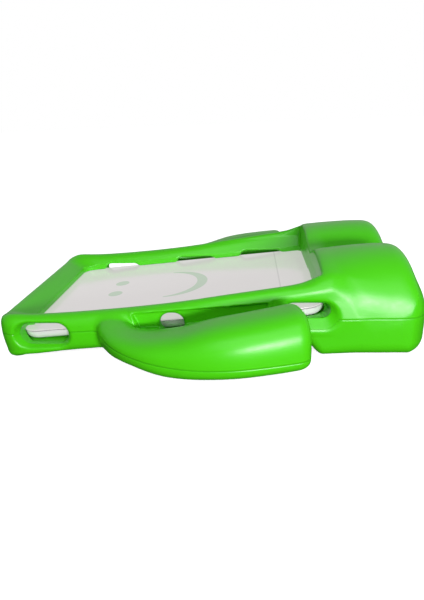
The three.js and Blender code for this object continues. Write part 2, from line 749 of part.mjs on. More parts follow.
function tabletAssembly() {
  const tablet = new THREE.Group();
  tablet.rotation.y = -TILT;
  tablet.position.set(TABLET_SHIFT * Math.cos(TILT), 0, GLASS_HEIGHT + TABLET_SHIFT * Math.sin(TILT));
  const piece = (name, geometry, finish) => add(tablet, name, geometry, finish);

  piece("rear_shell", rearShell(), SHELL);
  piece("front_glass", tabletPlate(0, GLASS_BACK, 0), GLASS);
  piece("glass_gasket", glassGasket(), RUBBER);
  piece("display_panel", layer(PANEL), SCREEN);
  piece("display_backlight", layer(BACKLIGHT), METAL);
  piece("metal_frame", metalFrame(), METAL);

  piece("battery_cell_left", batteryCell(-1), BATTERY);
  piece("battery_cell_right", batteryCell(1), BATTERY);
  piece("battery_board", box(69, 74, -24, 24, BOARD_LOW, -5.2), BOARD);
  piece("battery_cable", box(-34.5, 68.5, -1, 1, BOARD_LOW, BOARD_LOW + FLEX_THICKNESS), FLEX);

  piece("main_board", mainBoard(), BOARD);
  piece("board_shield", shieldCan(), METAL);
  CHIPS.forEach((each) => piece(each.name, chip(each), each.finish));

  piece("charging_port", chargingPort(), METAL);
  piece("port_cable", portCable(), FLEX);
  piece("headphone_jack", headphoneJack(), CHIP);
  piece("speaker_left", speaker(-1), CHIP);
  piece("speaker_right", speaker(1), CHIP);
  piece("microphone", box(-97, -94, -24, -20, -6.1, -5), CHIP);
  piece("antenna", box(-98.5, -97.9, -16, 16, -5.8, -2.4), FLEX);
  piece("rear_camera", rearCamera(), CHIP);
  piece("rear_camera_window", rearCameraWindow(), LENS);
  piece("front_camera", frontCamera(), CHIP);
  piece("display_cable", displayCable(), FLEX);

  for (const key of KEYS) {
    piece(`${key.name}_button`, keyButton(key), SHELL);
    piece(`${key.name}_switch`, keySwitch(key), CHIP);
  }
  SCREWS.forEach((place, index) => {
    piece(`frame_screw_${index + 1}`, frameScrew(place), METAL);
    piece(`screw_post_${index + 1}`, screwPost(place), SHELL);
  });
  return tablet;
}

const object = new THREE.Group();
add(object, "foam_case", foamCase(), FOAM);
object.add(tabletAssembly());
object.position.x = -BOX_CENTRE_X;

export default object;
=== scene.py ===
"""The looks of the foam-cased kids tablet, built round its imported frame."""
import json
import math

import bpy
import numpy as np
from mathutils import Matrix, Vector


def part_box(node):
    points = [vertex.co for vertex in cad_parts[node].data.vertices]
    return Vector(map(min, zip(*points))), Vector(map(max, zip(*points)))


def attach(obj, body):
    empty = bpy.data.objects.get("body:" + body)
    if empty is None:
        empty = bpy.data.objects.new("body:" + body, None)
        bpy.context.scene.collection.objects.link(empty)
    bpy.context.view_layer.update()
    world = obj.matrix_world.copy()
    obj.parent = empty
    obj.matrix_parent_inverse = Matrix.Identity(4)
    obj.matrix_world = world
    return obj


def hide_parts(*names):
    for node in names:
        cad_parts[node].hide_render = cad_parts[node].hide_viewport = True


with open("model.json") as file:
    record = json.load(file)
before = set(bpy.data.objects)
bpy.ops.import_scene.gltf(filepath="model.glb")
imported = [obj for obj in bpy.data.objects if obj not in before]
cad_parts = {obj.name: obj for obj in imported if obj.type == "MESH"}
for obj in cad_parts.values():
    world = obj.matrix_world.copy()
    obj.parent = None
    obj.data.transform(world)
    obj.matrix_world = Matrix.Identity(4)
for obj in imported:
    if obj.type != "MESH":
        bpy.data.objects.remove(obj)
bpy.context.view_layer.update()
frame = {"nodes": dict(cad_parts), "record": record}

BODY = "case_and_tablet"

# ---- Dimensions, in millimetres -------------------------------------------------------------
# The foam is drawn as the CAD draws it: x from the tablet's middle towards the feet, z up.

MM = 0.001
CASE_TOP_X = -112.0
SHIFT_X = CASE_TOP_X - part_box("foam_case")[0].x / MM
SOLE_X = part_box("foam_case")[1].x / MM + SHIFT_X

TILT = math.radians(4.6)
GLASS_HEIGHT = 23.4
TABLET_LENGTH = 203.0
TABLET_WIDTH = 135.0
TABLET_THICKNESS = 7.2
TABLET_CORNER = 13.0
TABLET_SHIFT = 1.0
FIT_GAP = 0.3

CASE_HALF_WIDTH = 78.0
CASE_CORNER = 15.0
CASE_BACK_W = -14.0
END_CROWN = 1.2
CROWN_REACH = 12.0
FOOT_DRAFT = 0.2
LOWER_DRAFT = 0.04
DRAFT_EASE = (90, 115)
# Edge roundings that ease along x, as (place, radius) stops
BACK_ROUND = ((-90, 3.5), (-60, 6.0), (85, 6.0), (125, 10.0))
TOP_ROUND = ((95, 8.0), (125, 5.0))

SEAM_HEIGHT = 22.1
SEAM_SLOPE = 0.048
SEAM_LEVEL_X = 85.0

FOOT_START_X = 101.0
HEEL_SLOPE = 18.0
FOOT_CENTRE_Y = 37.0
FOOT_OUTER_WIDTH = CASE_HALF_WIDTH - FOOT_CENTRE_Y
FOOT_INNER_WIDTH = FOOT_CENTRE_Y + 0.6
FOOT_NOTCH = 22.0
RAIL_END_X = 103.0
RAIL_FALL = 30.0
LOBE_START_X = 60.0
VALLEY_SHARE = 0.3
LOBE_BLEND = 9.0
LOBE_POWER = 2.1
LOBE_INNER_ROOT = 0.8
LOBE_OUTER_ROOTS = (0.3, 0.6)
LOBE_ROUND_X = 146.0
LOBE_SOFTEN = 3.0
SOLE_BULGE = 0.6
SOLE_POWER = 2.5
SOLE_ROOT = 0.4
SOLE_SOFTEN = 4.0
STANDING_ROUND = 1.5

# The window's reach from the tablet's middle: to the top end, to the feet, and to each side
WINDOW_LOW = (94.0, 100.0, 62.0)
WINDOW_HIGH = (108.0, 101.0, 67.0)
LIP_HEIGHT = 4.5
WINDOW_SLOPE_HEIGHT = 13.0
WINDOW_CORNER = ((0, 10.0), (80, 3.0))
WINDOW_EDGE_ROUND = ((75, 5.0), (98, 2.0))

WALL_OUTSIDE = 80.0
MOUTH_END = 73.0
WALL_INSIDE = 60.0
RECESS_DEPTH = 3.0
RIM_RISE = 0.5
RIM_OUT = 1.0
RIM_WIDTH = 0.9
RIM_FADE = (8, 4)
RECESS_CORNER_ROUND = 1.0
RECESS_EDGE_ROUND = 1.5
RECESS_CORNERS = ((-19.5, 30.5), (-15.5, 21), (62, 26.5), (66, 37))

# Each side opening: its side, then its ends and its rise from the glass, outside and at MOUTH_END
SIDE_OPENINGS = (
    (-1, (-100.6, -59.7), (-11.4, 10.9), (-96.5, -63.9), (-8.0, 6.6)),
    (-1, (-3.4, 14), (-7.4, 8.6), (-2.8, 13), (-7.2, 6.4)),
    (-1, (72.5, 112.4), (-16.3, 9.4), (76, 104.4), (-4.9, 5.1)),
    (1, (-80, -40), (-10.5, 9), (-75.7, -44.3), (-7.2, 3.8)),
    (1, (-14, 29), (-11, 8.5), (-10, 25), (-7.2, 3.8)),
    (1, (43, 88), (-11.5, 8.5), (47, 84), (-7.2, 3.8)),
)
SIDE_EDGE_ROUND = 1.8
# Half length and half height of the openings at the tablet's ends
JACK_SLOT = (7.0, 4.0)
POWER_SLOT = (11.0, 4.0)
CHARGING_PASSAGE = (10.0, 5.5)
SLOT_OVERLAP = 2.0
PASSAGE_OVERLAP = 1.0
CAMERA_HOLE = 8.0
END_EDGE_ROUND = 2.5
POCKET_EDGE_ROUND = 0.5

# Heights of the rail tops and of the feet's ridges, along x
RAIL = (
    (-112, 30.4),
    (-80, 29.6),
    (-40, 31.8),
    (0, 35.6),
    (40, 41.2),
    (80, 46.8),
    (101, 49.8),
    (125, 53),
)
CREST = (
    (88, 54),
    (101, 58.4),
    (110, 59.8),
    (120, 60.9),
    (132, 61.8),
    (142, 62),
    (148, 61.6),
    (152.5, 59.8),
    (156, 55.8),
    (159, 49),
    (162.6, 40.5),
    (165, 34.4),
    (168, 29.8),
)

# The arm's middle line in plan, and its section at stations along that line
ARM_LINE = (
    (-39.1, 64),
    (-33.4, 73.1),
    (-29.1, 82.3),
    (-19.7, 93.3),
    (-1.3, 102.7),
    (18, 107.6),
    (43, 110),
    (66, 107.5),
    (84.6, 103.5),
)
ARM_STATIONS = (0, 0.18, 0.32, 0.48, 0.67, 1)
ARM_HALF_WIDTHS = (11.9, 10.5, 14.1, 17.8, 20.1, 19.7)
ARM_ABOVE = (10.3, 6.6, 7.6, 12.8, 20, 24.7)
ARM_BELOW = (15.2, 11.5, 9.4, 10.7, 9.6, 8.6)
ARM_SECTION_POWER = 2.7
ARM_SEAM_DROP = 4.0
ARM_SEAM_FALL = (0.1, 0.6)
FAR_ARM_DROP = 6.5
ARM_ROOM_X = (-75, 110)
ARM_ROOM_Y = 45
SHOULDER_BLEND = ((0.1, 2.5), (0.45, 0.4))
HAND_ROUND = 8.0

PAD_RADIUS = 7.0
PAD_X = -101.0
PAD_Y = 67.0
PAD_TOP = 6.0
PAD_BLEND = 2.0

# The tablet's pieces, from its glass's surface and its own middle
GLASS_BACK = -0.9
GLASS_ROUNDS = (0.12, 0.45)
SHELL_RIM = -1.3
SHELL_RIM_ROUND = 0.2
SHELL_WALL = 1.4
SHELL_FLOOR = -6.2
SHELL_ROUND = 4.4
KEY_LEVEL = -3.9
KEY_LENGTH = 9.0
KEY_WIDTH = 2.4
KEY_BACK = -1.6
KEY_PROUD = 0.6
KEY_ROUND = 0.4
KEY_GAP = 0.2
KEY_CROWN = (0.7, 0.02)
# Taken off a pill's end radius, so that its two round ends never meet in a point
PILL_TRIM = 0.01
FLANGE_THICKNESS = 0.8
FLANGE_SPREAD = 0.6
# Each key's edge of the tablet, and its place along that edge
KEYS = {"power": ("top", 40.0), "volume_up": ("side", -69.0), "volume_down": ("side", -57.0)}
JACK_AT = -52.0
JACK_HOLE = 4.6
PORT_HOLE = (9, 3, 1.2)
CAMERA_AT = (-91.5, 54.0)
CAMERA_RADIUS = 3.4
CAMERA_GAP = 0.1
RING_GAP = 0.2
RING_SECTION = ((0, 0.1), (0, -0.25), (0.25, -0.45), (0.7, -0.45), (0.95, -0.2), (0.95, 0.1))
RING_SIDES = 48

# The drawing on the screen; each curve of the smile has its middle along the tablet and its radius
DISPLAY_HALF_LENGTH = 76.0
FACE_ACROSS = 4
EYE_ALONG = -50
EYE_APART = 12
EYE_RADIUS = 5.5
SMILE_OUTER = (-8, 29)
SMILE_INNER = (-15, 28)
SMILE_START = -10

# The grid that the foam is meshed on
GRID_STEP = 1.0
GRID_MARGIN = 3.0
GRID_HALF_WIDTH = 133.0
GRID_TOP = 66.0
SETTLE_STEPS = 3
SKIN_DEPTH = 1.5
NO_SEAM = 20.0
SHARP_ANGLE = math.radians(35)

# ---- Colours, camera and lamps, in metres ---------------------------------------------------

FOAM_GREEN = (0.072, 0.620, 0.0050)
FOAM_DEEP = (0.054, 0.530, 0.0040)
# Painted shade for the groove along the parting line
FOAM_SEAM_SHADE = (0.020, 0.300, 0.0025)
SCREEN_GLOW = 0.72
FLOOR_BOUNCE = (0.04, 0.04, 0.04)
FLOOR_LIFT = 0.8
FLOOR_REACH = 6.0
ROOM_LIGHT = (0.16, 0.60)

CAMERA_PLACE = ((53.956 - SHIFT_X) * MM, -0.353982, 0.14766)
CAMERA_YAW = -0.0808371
CAMERA_PITCH = 0.3693642
CAMERA_ROLL = -0.0410498
CAMERA_LENS = 29.09

MAIN_LAMP = {"place": (0.29, -0.95, 0.20), "aim": (0.02, 0, 0.02), "size": (0.40, 0.12), "power": 8.2}
FILL_LAMP = {"place": (0.1, -0.95, 0.95), "aim": (0, 0, 0), "size": (1.2, 0.9), "power": 6.0}


# ---- Curves and smooth joins ----------------------------------------------------------------


def lerp(a, b, t):
    return a + (b - a) * t


def smoothstep(value, low, high):
    t = np.clip((value - low) / (high - low), 0, 1)
    return t * t * (3 - 2 * t)


def eased(place, stops):
    """A value that eases from each (place, value) stop to the next."""
    value = stops[0][1]
    for (x0, a), (x1, b) in zip(stops, stops[1:]):
        value = value + (b - a) * smoothstep(place, x0, x1)
    return value


def spline(points, per_span=16):
    """Points of a smooth curve through the given ones."""
    p = np.array(points, float)
    p = np.vstack([p[:1], p, p[-1:]])
    t = np.linspace(0, 1, per_span, endpoint=False)[:, None]
    spans = []
    for a, b, c, d in zip(p[:-3], p[1:-2], p[2:-1], p[3:]):
        bend = (2 * b) + (c - a) * t + (2 * a - 5 * b + 4 * c - d) * t**2
        spans.append(0.5 * (bend + (3 * b - a - 3 * c + d) * t**3))
    return np.vstack(spans + [p[-1:]])


def soft_max(a, b, blend):
    """The larger of two values, rounded off where they are nearly equal."""
    near = np.maximum(blend - np.abs(a - b), 0) / blend
    return np.maximum(a, b) + near * near * blend * 0.25


def soft_min(a, b, blend):
    return -soft_max(-a, -b, blend)


def carve(solid, hole, blend):
    return soft_max(solid, -hole, blend)


# ---- The foam case as a distance field ------------------------------------------------------
# Each field gives about the distance to a shape's surface, below 0 inside it. x, y and z are the
# grid's columns, rows and levels, shaped so that they combine into the whole grid.


def seam_height(x):
    return SEAM_HEIGHT + SEAM_SLOPE * np.minimum(x, SEAM_LEVEL_X)


def glass_height(x):
    return GLASS_HEIGHT + x * math.tan(TILT)


def foot_arch(y, power, root, soften):
    """From 1 at each foot's middle to 0 at its sides; soften rounds the valley between them."""
    offset = np.sqrt(y * y + soften * soften) - FOOT_CENTRE_Y
    half = np.where(offset > 0, FOOT_OUTER_WIDTH, FOOT_INNER_WIDTH)
    across = np.clip(np.abs(offset) / half, 0, 1)
    return (1 - across**power) ** root


def top_height(x, y):
    """The rail tops, and past the window the two lobes of the feet."""
    seam = seam_height(x)
    rail, crest = spline(RAIL), spline(CREST)
    fallen = smoothstep(x, RAIL_END_X, RAIL_END_X + RAIL_FALL)
    rail_rise = (np.interp(x, rail[:, 0], rail[:, 1]) - seam) * (1 - fallen)
    inward = np.abs(y) < FOOT_CENTRE_Y
    outer_root = lerp(*LOBE_OUTER_ROOTS, smoothstep(x, FOOT_START_X, LOBE_ROUND_X))
    root = np.where(inward, LOBE_INNER_ROOT, outer_root)
    arch = lerp(np.where(inward, VALLEY_SHARE, 0), 1, foot_arch(y, LOBE_POWER, root, LOBE_SOFTEN))
    grown = smoothstep(x, LOBE_START_X, FOOT_START_X)
    lobe_rise = (np.interp(x, crest[:, 0], crest[:, 1]) - seam) * arch * grown
    return seam + soft_max(rail_rise, lobe_rise, LOBE_BLEND)


def steepness(surface, step):
    """How many times longer the way straight up to a height map is than the shortest way."""
    along, across = np.gradient(surface, step)
    return np.sqrt(1 + along**2 + across**2)


def body_field(x, y, z, step):
    flat_x, flat_y = x[:, :, 0], y[:, :, 0]
    top = top_height(flat_x, flat_y)
    above = (z - top[:, :, None]) / steepness(top, step)[:, :, None]

    to_heel = smoothstep(flat_x, FOOT_START_X - HEEL_SLOPE, FOOT_START_X)
    back = lerp(glass_height(flat_x) + CASE_BACK_W, 0, to_heel) + 0 * flat_y
    below = (back[:, :, None] - z) / steepness(back, step)[:, :, None]

    corner_x = (CASE_TOP_X + CASE_CORNER) - flat_x
    corner_y = np.abs(flat_y) - (CASE_HALF_WIDTH - CASE_CORNER)
    frame_end = np.hypot(np.maximum(corner_x, 0), np.maximum(corner_y, 0))
    frame_end = frame_end + np.minimum(np.maximum(corner_x, corner_y), 0) - CASE_CORNER
    notch = FOOT_NOTCH * (1 - foot_arch(flat_y, SOLE_POWER, SOLE_ROOT, SOLE_SOFTEN))
    sole = SOLE_X + SOLE_BULGE - notch + 0 * flat_x
    sole_end = (flat_x - sole) / steepness(sole, step)
    over_seam = z - seam_height(x)
    on_foot = smoothstep(x, *DRAFT_EASE)
    crown = END_CROWN * np.clip(np.abs(over_seam) / CROWN_REACH, 0, 1) ** 2 * (1 - on_foot)
    crown = crown + np.where(over_seam > 0, FOOT_DRAFT, -LOWER_DRAFT) * over_seam * on_foot
    plan = np.maximum(frame_end[:, :, None] + crown, sole_end[:, :, None])
    return soft_max(soft_max(plan, below, eased(x, BACK_ROUND)), above, eased(x, TOP_ROUND))


def arm_place(x, y):
    """For points in plan: share along the arm, sideways distance, distance past the hand's end."""
    line = spline(ARM_LINE, 24)
    steps = np.hypot(*np.diff(line, axis=0).T)
    length = np.concatenate([[0], np.cumsum(steps)])
    gap = (x[..., None] - line[:, 0]) ** 2 + (np.abs(y)[..., None] - line[:, 1]) ** 2
    nearest = np.clip(gap.argmin(-1), 1, len(line) - 2)
    ahead = line[nearest + 1] - line[nearest - 1]
    ahead /= np.linalg.norm(ahead, axis=-1)[..., None]
    from_line = np.stack([x, np.abs(y)], -1) - line[nearest]
    forward = (from_line * ahead).sum(-1)
    sideways = from_line[..., 0] * ahead[..., 1] - from_line[..., 1] * ahead[..., 0]
    share = np.clip((length[nearest] + forward) / length[-1], 0, 1)
    last = line[-1] - line[-2]
    last /= np.linalg.norm(last)
    past_end = (x - line[-1, 0]) * last[0] + (np.abs(y) - line[-1, 1]) * last[1]
    return share, sideways, past_end


def arm_seam(x, share, side):
    drop = ARM_SEAM_DROP + (FAR_ARM_DROP if side > 0 else 0)
    return seam_height(x) - smoothstep(share, *ARM_SEAM_FALL) * drop


def along_arm(share, values):
    """The values at the arm's stations, made into a smooth curve along it."""
    curve = spline(list(zip(ARM_STATIONS, values)))
    return np.interp(share, curve[:, 0], curve[:, 1])[:, :, None]


def arm_field(x, y, z, side):
    """One arm as a bent bar with a squarish round section, and the share along it."""
    share, sideways, past_end = arm_place(x[:, :, 0], y[:, :, 0])
    half_width = along_arm(share, ARM_HALF_WIDTHS)
    above = along_arm(share, ARM_ABOVE)
    below = along_arm(share, ARM_BELOW)
    rise = z - arm_seam(x[:, :, 0], share, side)[:, :, None]
    height = np.where(rise > 0, above, below)
    p = ARM_SECTION_POWER
    across = np.maximum(np.abs(sideways)[:, :, None] / half_width, 1e-3)
    up = np.maximum(np.abs(rise) / height, 1e-3)
    total = across**p + up**p
    slope = np.hypot(across ** (p - 1) / half_width, up ** (p - 1) / height)
    slope = slope * total ** (1 / p - 1)
    bar = np.maximum((total ** (1 / p) - 1) / slope, -np.minimum(half_width, height))
    return soft_max(bar, past_end[:, :, None], HAND_ROUND), share


def in_tablet(x, z):
    """Along the tablet and out of its glass, for a point in the case."""
    u = x * math.cos(TILT) + (z - GLASS_HEIGHT) * math.sin(TILT)
    w = (z - GLASS_HEIGHT) * math.cos(TILT) - x * math.sin(TILT)
    return u, w


def window_field(x, y, z):
    """The window over the screen: upright walls at the lip, sloping ones above it."""
    u, w = in_tablet(x, z)
    depth = WINDOW_SLOPE_HEIGHT - LIP_HEIGHT
    opened = np.clip((w - LIP_HEIGHT) / depth, 0, 1)
    sloping = (opened > 0) & (opened < 1)
    walls = []
    for outwards, low, high in zip((-u, u, np.abs(y)), WINDOW_LOW, WINDOW_HIGH):
        slope = math.hypot(1, (high - low) / depth)
        walls.append((outwards - lerp(low, high, opened)) / np.where(sloping, slope, 1))
    top_end, foot_end, sides = walls
    ends = np.maximum(top_end, foot_end)
    return np.maximum(soft_max(ends, sides, eased(u, WINDOW_CORNER)), -w)


def pocket_field(x, y, z):
    """The pocket that holds the tablet, with its fitting gap all round."""
    u, w = in_tablet(x, z)
    radius = TABLET_CORNER + FIT_GAP
    past_x = np.abs(u - TABLET_SHIFT) - (TABLET_LENGTH / 2 + FIT_GAP - radius)
    past_y = np.abs(y) - (TABLET_WIDTH / 2 + FIT_GAP - radius)
    plan = np.hypot(np.maximum(past_x, 0), np.maximum(past_y, 0))
    plan = plan + np.minimum(np.maximum(past_x, past_y), 0) - radius
    half_thickness = TABLET_THICKNESS / 2
    return np.maximum(plan, np.abs(w + half_thickness) - (half_thickness + FIT_GAP))


def stadium(a, b, half_length, half_height):
    """A bar with round ends about a = 0, b = 0; half_height is also its ends' radius."""
    return np.hypot(np.maximum(np.abs(a) - (half_length - half_height), 0), b) - half_height


def side_opening_field(x, y, z, opening):
    """One opening through a long side, which narrows from the outside to its mouth."""
    side, outer, rise, inner, inner_rise = opening
    outer_glass = glass_height(sum(outer) / 2)
    inner_glass = glass_height(sum(inner) / 2)
    t = np.clip((WALL_OUTSIDE - side * y) / (WALL_OUTSIDE - MOUTH_END), 0, 1)
    x0 = lerp(outer[0], inner[0], t)
    x1 = lerp(outer[1], inner[1], t)
    z0 = lerp(outer_glass + rise[0], inner_glass + inner_rise[0], t)
    z1 = lerp(outer_glass + rise[1], inner_glass + inner_rise[1], t)
    hole = stadium(x - (x0 + x1) / 2, z - (z0 + z1) / 2, (x1 - x0) / 2, (z1 - z0) / 2)
    middle, half = (WALL_OUTSIDE + WALL_INSIDE) / 2, (WALL_OUTSIDE - WALL_INSIDE) / 2
    return np.maximum(hole, np.abs(side * y - middle) - half)


def recess_field(x, y, z):
    """The shallow recess behind the near arm, and the height of the slight rim round it."""
    corners = np.array(RECESS_CORNERS)
    middle = corners.mean(0)
    field = -math.inf
    for start, end in zip(corners, np.roll(corners, -1, axis=0)):
        normal = np.array([end[1] - start[1], start[0] - end[0]])
        normal /= np.linalg.norm(normal)
        normal *= -np.sign((middle - start) @ normal)
        edge = (x - start[0]) * normal[0] + (z - start[1]) * normal[1]
        field = soft_max(field, edge, RECESS_CORNER_ROUND)
    near_wall = smoothstep(-y, CASE_HALF_WIDTH - RIM_FADE[0], CASE_HALF_WIDTH - RIM_FADE[1])
    rim = RIM_RISE * np.exp(-(((field - RIM_OUT) / RIM_WIDTH) ** 2)) * near_wall
    return soft_max(field, y + CASE_HALF_WIDTH - RECESS_DEPTH, RECESS_CORNER_ROUND), rim


def end_holes_field(x, y, z):
    """Slots for the power key and the headphone plug, the charging passage and the camera hole."""
    u, w = in_tablet(x, z)
    level = w + TABLET_THICKNESS / 2
    past_top = u - (TABLET_SHIFT - TABLET_LENGTH / 2 + SLOT_OVERLAP)
    past_foot = TABLET_SHIFT + TABLET_LENGTH / 2 - PASSAGE_OVERLAP - u
    jack = np.maximum(stadium(y - JACK_AT, level, *JACK_SLOT), past_top)
    power = np.maximum(stadium(y - KEYS["power"][1], level, *POWER_SLOT), past_top)
    passage = np.maximum(stadium(y, level, *CHARGING_PASSAGE), past_foot)
    from_camera = np.hypot(u - TABLET_SHIFT - CAMERA_AT[0], y - CAMERA_AT[1])
    camera = np.maximum(from_camera - CAMERA_HOLE, w + TABLET_THICKNESS)
    return np.minimum(np.minimum(jack, power), np.minimum(passage, camera))


def foam_field(x, y, z, step):
    """The whole case, and the height above its parting line."""
    field = body_field(x, y, z, step)
    recess, rim = recess_field(x, y, z)
    field = carve(field - rim, recess, RECESS_EDGE_ROUND)
    seam = (z - seam_height(x)) + 0 * y
    for side in (-1, 1):
        rows = np.nonzero(side * y[0, :, 0] > ARM_ROOM_Y)[0]
        columns = np.nonzero((x[:, 0, 0] > ARM_ROOM_X[0]) & (x[:, 0, 0] < ARM_ROOM_X[1]))[0]
        block = np.s_[columns[0] : columns[-1] + 1, rows[0] : rows[-1] + 1]
        block_x, block_y = x[block], y[block]
        arm, share = arm_field(block_x, block_y, z, side)
        blend = eased(share, SHOULDER_BLEND)[:, :, None]
        on_arm = (arm < field[block]) & (side * block_y > CASE_HALF_WIDTH - 2)
        own_seam = z - arm_seam(block_x[:, :, 0], share, side)[:, :, None]
        seam[block] = np.where(on_arm, own_seam, seam[block])
        field[block] = soft_min(field[block], arm, blend)
        pad = np.hypot(x - PAD_X, y - side * PAD_Y) - PAD_RADIUS
        field = soft_min(field, np.maximum(pad, z - PAD_TOP), PAD_BLEND)
    outside = field
    field = carve(field, window_field(x, y, z), eased(x, WINDOW_EDGE_ROUND))
    field = carve(field, pocket_field(x, y, z), POCKET_EDGE_ROUND)
    for opening in SIDE_OPENINGS:
        field = carve(field, side_opening_field(x, y, z, opening), SIDE_EDGE_ROUND)
    field = carve(field, end_holes_field(x, y, z), END_EDGE_ROUND)
    field = soft_max(field, -z + 0 * x + 0 * y, STANDING_ROUND)
    field = soft_max(field, x - SOLE_X + 0 * z + 0 * y, STANDING_ROUND)
    seam = np.where(outside < -SKIN_DEPTH, NO_SEAM, seam)
    return field, seam


# ---- Field to mesh --------------------------------------------------------------------------

CORNERS = np.array([(i, j, k) for i in (0, 1) for j in (0, 1) for k in (0, 1)])
CELL_EDGES = [
    (a, b) for a in range(8) for b in range(a + 1, 8) if abs(CORNERS[a] - CORNERS[b]).sum() == 1
]


def sample(grid, place):
    """Value between the points of a grid, by the eight around each place."""
    low = np.clip(np.floor(place).astype(int), 0, np.array(grid.shape) - 2)
    part = place - low
    value = np.zeros(len(place))
    for corner in CORNERS:
        weight = np.prod(np.where(corner, part, 1 - part), axis=1)
        value += weight * grid[tuple((low + corner).T)]
    return value


def surface_points(field):
    """One point in each cell that the surface crosses, and the table of cells to points."""
    inside = field < 0
    count = np.zeros(np.array(field.shape) - 1, np.int8)
    for i, j, k in CORNERS:
        shifted = inside[i : i + count.shape[0], j : j + count.shape[1], k : k + count.shape[2]]
        count += shifted
    cells = np.argwhere((count > 0) & (count < 8))
    index = np.full(count.shape, -1, np.int32)
    index[tuple(cells.T)] = np.arange(len(cells))
    values = np.stack([field[tuple((cells + corner).T)] for corner in CORNERS], 1)
    total = np.zeros((len(cells), 3))
    crossings = np.zeros(len(cells))
    for a, b in CELL_EDGES:
        crossed = (values[:, a] < 0) != (values[:, b] < 0)
        share = np.where(crossed, values[:, a] / (values[:, a] - values[:, b] + 1e-12), 0)
        point = CORNERS[a] + share[:, None] * (CORNERS[b] - CORNERS[a])
        total += point * crossed[:, None]
        crossings += crossed
    return cells + total / crossings[:, None], index


def surface_quads(field, index):
    """A quad round each grid edge that the surface crosses, facing out of the solid."""
    inside = field < 0
    quads = []
    for axis in range(3):
        one = np.roll(np.eye(3, dtype=int)[0], axis)
        side_a = np.roll(one, 1)
        side_b = np.roll(one, 2)
        start = inside[tuple(slice(0, n - d) for n, d in zip(inside.shape, one))]
        end = inside[tuple(slice(d, None) for d in one)]
        edges = np.argwhere(start != end)
        keep = np.all((edges - side_a - side_b >= 0) & (edges < np.array(index.shape)), axis=1)
        edges = edges[keep]
        ring = [edges, edges - side_a, edges - side_a - side_b, edges - side_b]
        quad = np.stack([index[tuple(cell.T)] for cell in ring], 1)
        outwards = start[tuple(edges.T)]
        quads.append(np.where(outwards[:, None], quad, quad[:, ::-1]))
    quads = np.vstack(quads)
    return quads[(quads >= 0).all(1)]


def foam_mesh():
    """The foam's surface: its places, faces, normals and height over the parting line."""
    step = GRID_STEP
    low = np.array([CASE_TOP_X - GRID_MARGIN, -GRID_HALF_WIDTH, -GRID_MARGIN])
    high = np.array([SOLE_X + GRID_MARGIN, GRID_HALF_WIDTH, GRID_TOP])
    sizes = np.ceil((high - low) / step).astype(int) + 1
    axes = []
    for i, shape in enumerate([(-1, 1, 1), (1, -1, 1), (1, 1, -1)]):
        ticks = low[i] + step * np.arange(sizes[i])
        axes.append(ticks.astype(np.float32).reshape(shape))
    x, y, z = axes
    field, seam = foam_field(x + 0 * y, y + 0 * x, z, step)
    points, index = surface_points(field)
    quads = surface_quads(field, index)
    for _ in range(SETTLE_STEPS):
        gradient = np.stack(
            [sample(field, points + d) - sample(field, points - d) for d in 0.5 * np.eye(3)], 1
        )
        size = np.maximum((gradient**2).sum(1), 1e-9)
        move = sample(field, points)[:, None] * gradient / size[:, None]
        points = points - np.clip(move, -0.5, 0.5)
    normals = gradient / np.maximum(np.linalg.norm(gradient, axis=1), 1e-9)[:, None]
    seam_distance = sample(seam, points)
    places = (low + points * step - np.array([SHIFT_X, 0, 0])) * MM
    return places, quads, normals, seam_distance


# ---- Pieces ---------------------------------------------------------------------------------


def new_piece(name, places, faces, replaces=(), normals=None):
    mesh = bpy.data.meshes.new(name)
    faces = [tuple(int(i) for i in face) for face in faces]
    mesh.from_pydata(np.asarray(places).tolist(), [], faces)
    mesh.validate()
    mesh.polygons.foreach_set("use_smooth", np.ones(len(mesh.polygons), bool))
    if normals is not None:
        mesh.normals_split_custom_set_from_vertices(normals.tolist())
    mesh.update()
    piece = bpy.data.objects.new(name, mesh)
    bpy.context.scene.collection.objects.link(piece)
    if replaces:
        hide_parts(*replaces)
    return piece


def foam_case():
    places, quads, normals, seam_distance = foam_mesh()
    piece = new_piece("foam_case_skin", places, quads, ["foam_case"], normals)
    stored = piece.data.attributes.new("seam", "FLOAT", "POINT")
    stored.data.foreach_set("value", seam_distance.astype(np.float32))
    piece.data.materials.append(foam_material())
    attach(piece, BODY)
    return piece


def tablet_places(points):
    """Row frame places of points along, across and out of the tablet, from its own middle."""
    u, v, w = np.asarray(points, float).T
    x = (u + TABLET_SHIFT) * math.cos(TILT) - w * math.sin(TILT)
    z = GLASS_HEIGHT + (u + TABLET_SHIFT) * math.sin(TILT) + w * math.cos(TILT)
    return np.stack([x - SHIFT_X, v, z], 1) * MM


def rounded_outline(length, width, radius, per_corner):
    turn = np.radians(np.linspace(0, 90, per_corner))
    corner = np.stack([np.cos(turn), np.sin(turn)], 1) * radius
    points = []
    for side_x, side_y in ((1, 1), (-1, 1), (-1, -1), (1, -1)):
        part = corner * (side_x, side_y)
        middle = (side_x * (length / 2 - radius), side_y * (width / 2 - radius))
        points.append((part if side_x == side_y else part[::-1]) + middle)
    return np.vstack(points)


def loft(rings):
    """Vertices and faces of a closed solid through rings of equal length, capped at both ends."""
    count = len(rings[0])
    faces = [tuple(range(count - 1, -1, -1))]
    for level in range(len(rings) - 1):
        start = level * count
        for i in range(count):
            j = (i + 1) % count
            faces.append((start + i, start + j, start + count + j, start + count + i))
    faces.append(tuple(range((len(rings) - 1) * count, len(rings) * count)))
    return np.vstack(rings), faces


def quarter_round(radius, steps=5):
    """Insets and heights round an edge, from the side's level 0 to the face's level radius."""
    turn = np.radians(np.linspace(0, 90, steps + 1))
    return [(radius * (1 - math.cos(t)), radius * math.sin(t)) for t in turn]


